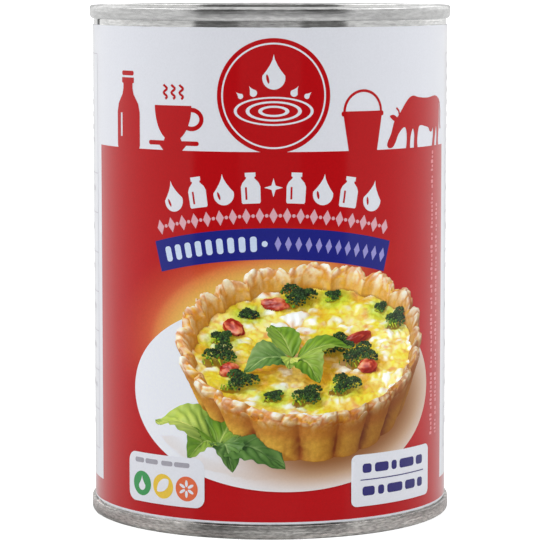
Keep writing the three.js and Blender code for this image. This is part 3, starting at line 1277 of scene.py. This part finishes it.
def make_boxes(white, inks):
    """The two white boxes at the bottom, with plain marks in them."""
    left = Print("box_left_white", white)
    left.add(pill(*BOX_LEFT, 19.4, 10.2, 2.0), BADGE_LIFT)
    left.finish()
    right = Print("box_right_white", white)
    right.add(pill(*BOX_RIGHT, 22.8, 10.7, 1.3), BADGE_LIFT)
    right.finish()
    words = Print("box_marks_navy", inks["navy"])
    for v, row in ((13.6, (2.2, 3.6, 1.5, 4.6, 2.4)), (8.9, (3.0, 1.6, 4.4, 3.3, 1.9))):
        gap = (17.6 - sum(row)) / (len(row) - 1)
        u = BOX_RIGHT[0] - 8.8
        for width in row:
            words.add(pill(u + width / 2, v, width, 1.9, 0.6), MARK_LIFT)
            u += width + gap
    words.add(pill(BOX_RIGHT[0], 11.25, 18.6, 0.22, 0.1), MARK_LIFT)
    words.finish()
    small = Print("box_marks_grey", inks["grey"])
    for u, width in ((-29.6, 2.6), (-26.2, 3.4), (-22.2, 2.8), (-18.6, 3.6)):
        small.add(pill(u, 14.4, width, 1.0, 0.4), MARK_LIFT)
    small.finish()
    for u, name in BADGE_PLACES:
        badge = Print(name, inks[name.removeprefix("badge_")])
        badge.add(ellipse(u, 9.6, 2.55, 2.55, 32), MARK_LIFT)
        badge.finish()
    marks = Print("badge_marks_white", white)
    lift = MARK_LIFT + 0.02
    marks.add(drop(-28.9, 9.7, 1.9, 3.1), lift)
    leaf_outline = [(-24.7, 8.5), (-24.3, 10.2), (-23.0, 11.2), (-21.8, 11.0), (-22.0, 9.6), (-23.1, 8.6)]
    marks.add(smooth(leaf_outline, 4), lift)
    for turn in range(6):
        marks.add(turned(ellipse(-17.5, 10.7, 0.32, 0.75, 10), -17.5, 9.6, 60 * turn), lift)
    marks.finish()


def make_fine_print(pale, rng):
    """Two columns of tiny marks that read upward at the right of the red field."""
    layer = Print("fine_print", pale)
    for u, low, high in ((41.5, 18.0, 77.0), (43.9, 18.0, 66.0)):
        v = low
        while v < high:
            for _ in range(rng.randint(2, 9)):
                width = rng.choice((0.75, 0.75, 1.1))
                length = rng.uniform(0.4, 0.75)
                if v < high:
                    middle = u - (width - 0.75) / 2
                    layer.add(pill(middle, v + length / 2, width, length, 0.18, 2))
                v += length + 0.32
            v += 0.7
    return layer.finish()


def make_back(grey, rng):
    """Plain rows, a ruled table and bars on the white panels round the back."""
    layer = Print("back_rows", grey)

    def rows(left, right, top, bottom, pitch, thick):
        v = top
        while v > bottom:
            u = left
            end = right - rng.uniform(0, (right - left) * 0.3)
            while u < end:
                width = min(rng.uniform(1.5, 6.0), end - u)
                if width > 0.7:
                    layer.add(pill(u + width / 2, v, width, thick, thick / 2.2, 3))
                u += width + 0.8
            v -= pitch

    def line(u, v, width, height):
        layer.add(pill(u, v, width, height, 0.05, 2))

    for left, right in ((-86.0, -48.0), (51.0, 84.0)):
        middle, wide = (left + right) / 2, right - left
        for u in (left, right):
            line(u, 55.5, 0.2, 83.0)
        line(middle, 97.0, wide, 0.2)
        for i in range(8):
            line(middle, 14.0 + 8.3 * i, wide, 0.2)
        line(left + wide * 0.62, 43.05, 0.2, 58.1)
        for i in range(7):
            top = 19.0 + 8.3 * i
            rows(left + 1.5, left + wide * 0.6, top, top - 1.4, 5.0, 1.1)
            rows(left + wide * 0.66, right - 1.5, top, top - 1.4, 5.0, 1.1)
        rows(left + 2.0, right - 2.0, 94.5, 74.0, 2.6, 1.0)
    rows(-114.0, -90.0, 97.0, 52.0, 2.6, 1.0)
    u = -110.0
    while u < -93.0:
        width = rng.choice((0.35, 0.7, 1.05))
        layer.add(pill(u + width / 2, 28.0, width, 26.0, 0.02, 1))
        u += width + rng.choice((0.35, 0.7, 1.0))
    rows(89.0, 106.0, 97.0, 20.0, 3.4, 1.2)
    return layer.finish()


# Studio


def make_camera():
    data = bpy.data.cameras.new("camera")
    data.lens = CAMERA_LENS
    data.sensor_width = CAMERA_SENSOR
    data.clip_start = 0.01
    data.clip_end = 50.0
    camera = bpy.data.objects.new("camera", data)
    camera.location = (0.0, -CAMERA_DISTANCE * MM, CAMERA_HEIGHT * MM)
    camera.rotation_euler = (math.radians(90 - CAMERA_PITCH), 0.0, 0.0)
    bpy.context.collection.objects.link(camera)
    bpy.context.scene.camera = camera


# The floor ends close in front of the can, where the photograph does
FLOOR_FRONT = -0.0405
FLOOR_SIDE = 6.0
FLOOR_BACK = 14.0
# The floor's colour is darker close to the can than away from it: a painted shade of the can on the floor
FLOOR_SHADED_TONE = 0.68
FLOOR_OPEN_TONE = 0.8
FLOOR_PAINTED_SHADE = (0.1, 0.28)
FLOOR_SHOWN = 0.72

# The levels of the studio's walls, ceiling and ground
LEFT_WALL = 0.82
RIGHT_WALL = 0.75
BACK_WALL = 1.3
BACK_HIGH = 1.12
BEHIND = 0.66
FRONT_WALL = 0.18
FRONT_STREAK = 0.28
FRONT_LOW = 0.38
GROUND = 0.8
CEILING = 2.9
CEILING_BACK = 1.4
ZENITH = 0.9
SHOWN_BACK = 1.05


def make_floor():
    """A pale floor, which shows white to the camera and lights the can as pale grey, with a painted shade
    that darkens its colour close to the can.
    """
    mesh = bpy.data.meshes.new("floor")
    corners = [(-FLOOR_SIDE, FLOOR_FRONT, 0), (FLOOR_SIDE, FLOOR_FRONT, 0)]
    corners += [(FLOOR_SIDE, FLOOR_BACK, 0), (-FLOOR_SIDE, FLOOR_BACK, 0)]
    mesh.from_pydata(corners, [], [(0, 1, 2, 3)])
    floor = add_object("floor", mesh)
    material, tree, shader = new_material("floor_paper")
    # The base colour darkens towards the can's middle, a painted shade of the can
    inputs = {0: object_place(tree)}
    away = add_node(tree, "ShaderNodeVectorMath", inputs, operation="LENGTH").outputs["Value"]
    inputs = {0: add_node(tree, "ShaderNodeLightPath").outputs["Is Camera Ray"], 1: FLOOR_SHOWN}
    shown = add_node(tree, "ShaderNodeMath", inputs, operation="MULTIPLY").outputs[0]
    set_inputs(tree, shader, {
        "Base Color": ranged(tree, away, FLOOR_SHADED_TONE, FLOOR_OPEN_TONE, *FLOOR_PAINTED_SHADE),
        "Roughness": 1.0,
        "Specular IOR Level": 0.0,
        "Emission Color": (1.0, 1.0, 1.0, 1.0),
        "Emission Strength": shown,
    })
    mesh.materials.append(material)


def make_world():
    """Soft side walls, an even ceiling, and a dark front with a pale streak in its middle."""
    world = bpy.data.worlds.new("studio")
    bpy.context.scene.world = world
    world.use_nodes = True
    tree = world.node_tree
    place = add_node(tree, "ShaderNodeTexCoord").outputs["Generated"]
    x, y, z = add_node(tree, "ShaderNodeSeparateXYZ", {0: place}).outputs

    def maths(operation, a, b=0.0):
        return add_node(tree, "ShaderNodeMath", {0: a, 1: b}, operation=operation).outputs[0]

    def between(value, start, end, low, high):
        return ranged(tree, value, low, high, start, end, interpolation_type="SMOOTHSTEP")

    def mixed(a, b, share):
        rest = maths("SUBTRACT", 1.0, share)
        return maths("ADD", maths("MULTIPLY", a, rest), maths("MULTIPLY", b, share))

    flat = maths("SQRT", maths("ADD", maths("MULTIPLY", x, x), maths("MULTIPLY", y, y)))
    frontness = maths("DIVIDE", maths("MULTIPLY", y, -1.0), maths("MAXIMUM", flat, 0.001))
    back = between(z, 0.0, 0.08, BACK_WALL, BACK_HIGH)
    side = mixed(between(x, -0.4, 0.4, LEFT_WALL, RIGHT_WALL), back, between(y, 0.2, 0.6, 0.0, 1.0))
    side = mixed(side, BEHIND, between(y, 0.88, 0.96, 0.0, 1.0))
    streak = between(frontness, 0.93, 0.955, 0.0, FRONT_STREAK)
    streak = maths("MULTIPLY", streak, between(z, -0.1, -0.04, 0.3, 1.0))
    low_front = between(z, -0.24, -0.08, FRONT_LOW, 0.0)
    front = maths("MULTIPLY", maths("ADD", streak, FRONT_WALL), between(z, 0.0, 0.06, 1.0, 0.25))
    front = maths("ADD", front, low_front)
    ahead = between(frontness, 0.60, 0.68, 0.0, 1.0)
    walls = mixed(side, front, ahead)
    lower = mixed(walls, GROUND, between(z, -0.45, -0.28, 1.0, 0.0))
    overhead = mixed(between(z, 0.28, 0.42, 0.0, 1.0), between(z, 0.40, 0.56, 0.0, 1.0), ahead)
    ceiling = mixed(between(y, 0.0, 0.4, CEILING, CEILING_BACK), ZENITH, between(z, 0.50, 0.63, 0.0, 1.0))
    light = mixed(lower, ceiling, overhead)
    seen = add_node(tree, "ShaderNodeLightPath").outputs["Is Camera Ray"]
    inputs = {"Strength": mixed(light, SHOWN_BACK, seen), "Color": (1.0, 1.0, 1.0, 1.0)}
    set_inputs(tree, tree.nodes["Background"], inputs)


# Putting it together


def dress_can(white, inks):
    """The four pieces of the can, each on the one body."""
    bright = (0.77, 0.765, 0.75, 1.0)
    rolled = (0.16, 0.16, 3.0)
    seam = tin_material("tin_seam", (0.65, 0.65, 0.645, 1.0), (0.14, 0.26), 0.00003, rolled, 0.85)
    foot = tin_material("tin_foot", (0.66, 0.64, 0.61, 1.0), (0.16, 0.3), 0.00003, rolled, 2.4, 1700.0)
    panel = tin_material("tin_panel", bright, (0.18, 0.24), 0.000006, (0.15, 3.0, 1.0), 0.25)
    wall = tin_material("tin_wall", (0.77, 0.77, 0.76, 1.0), (0.06, 0.14), 0.00002, (0.3, 0.3, 5.0), 1.0)
    darken_weld(wall)
    for maker, node, slot, materials in (
        (make_top_end, "top_end", "tinplate_end", (seam, panel)),
        (make_bottom_end, "bottom_end", "tinplate_end", (foot, panel)),
        (make_body, "can_body", "tinplate_body", (wall,)),
        (make_label, "label", "label", (white, inks["red"])),
    ):
        piece = maker()
        for material in materials:
            piece.data.materials.append(material)
        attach(piece, "root")
        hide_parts(node)


def dress_print(white, inks):
    """Everything that is printed on the label."""
    rng = random.Random(11)
    make_figures(inks["red"])
    make_glow()
    make_picture(rng)
    make_emblem(white)
    make_title(white)
    make_second_row(inks["pink"])
    make_band(inks["blue"])
    make_band_rows(inks["pale"], inks["lavender"])
    make_boxes(white, inks)
    make_fine_print(inks["fine"], rng)
    make_back(inks["back"], rng)


make_camera()
make_floor()
make_world()
paper_white = print_material("print_paper", PAPER, 0.02)
print_inks = {name: print_material("print_" + name, colour) for name, colour in INKS.items()}
dress_can(paper_white, print_inks)
dress_print(paper_white, print_inks)
bpy.context.scene.view_settings.view_transform = "Standard"
